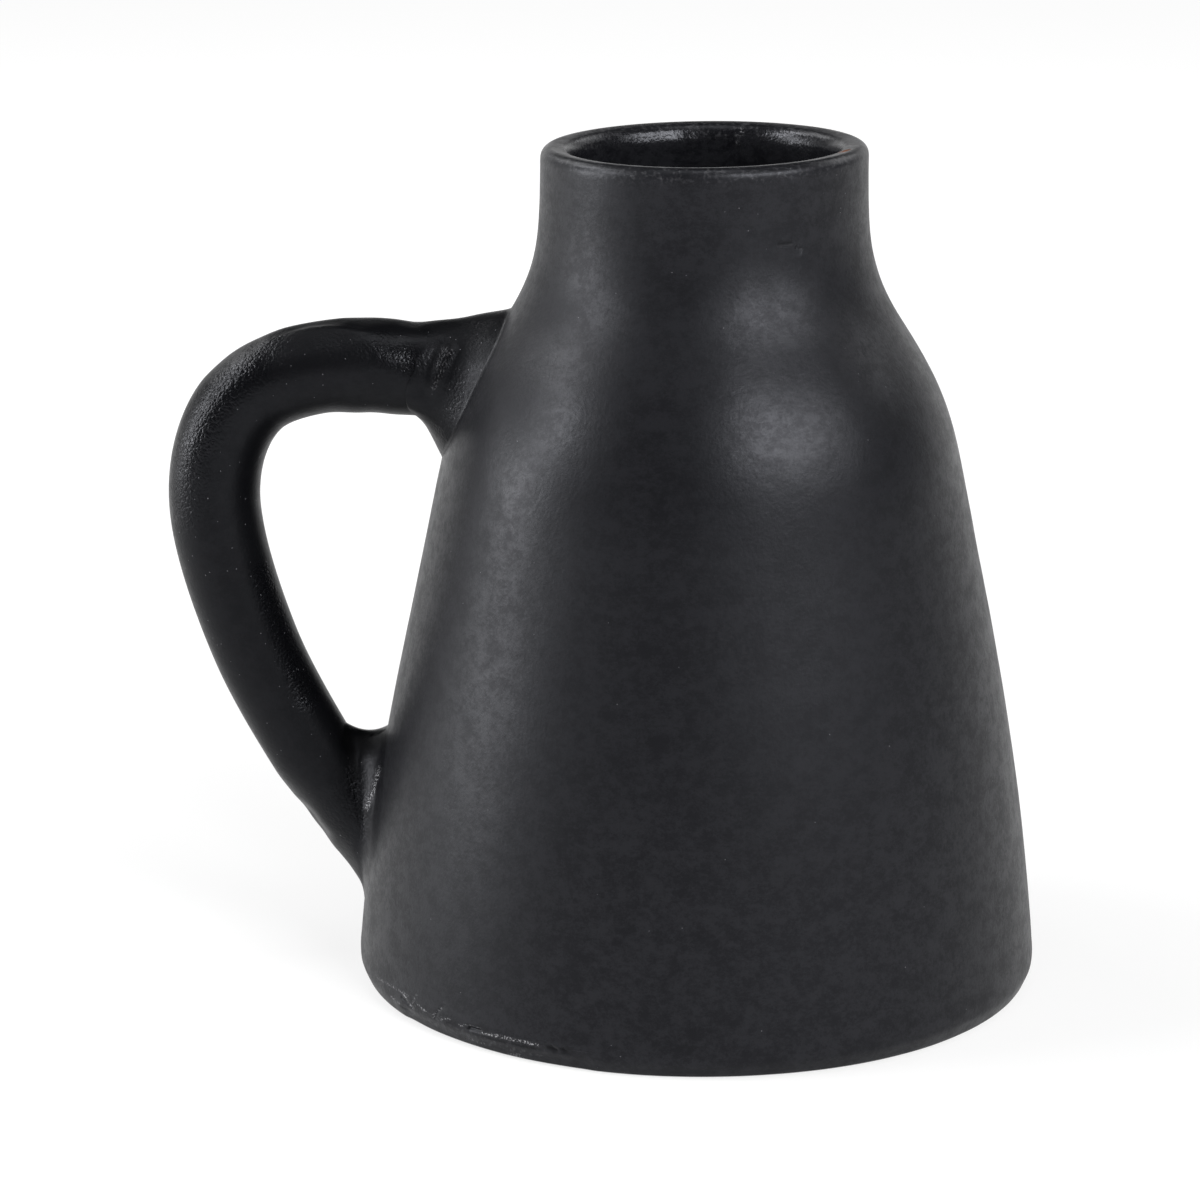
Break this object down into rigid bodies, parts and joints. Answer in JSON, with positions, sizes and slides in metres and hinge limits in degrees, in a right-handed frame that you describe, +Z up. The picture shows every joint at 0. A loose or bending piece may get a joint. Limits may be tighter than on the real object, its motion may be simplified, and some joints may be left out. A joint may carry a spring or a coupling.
{
  "type": "jug vase",
  "caption": "Conical jug vase with a rounded shoulder, short neck and one looped coil handle, standing on a flat slab base, for stems or dry display.",
  "frame": {"origin": "centre of the underside of the base slab, on the vessel's axis, where it stands on a table", "axes": "+Z up along the vessel's axis, -X towards the handle, +Y away from the viewer"},
  "size_m": [0.2177, 0.1712, 0.21],
  "materials": {
    "black_coat": "matte black coat over fired clay, lightly mottled",
    "slab_coat": "matte black coat over a pared slab edge",
    "inner_coat": "thicker, shinier black coat inside",
    "handle_coat": "darker satin black coat with a leathery grain",
    "collar_coat": "satin black coat over thumbed clay",
    "web_coat": "satin black coat over pressed clay"
  },
  "bodies": {
    "root": {"body_wall": "black_coat", "base_slab": "slab_coat", "seam_coil": "inner_coat", "handle_coil": "handle_coat", "upper_collar": "collar_coat", "lower_web": "web_coat"}
  },
  "joints": []
}
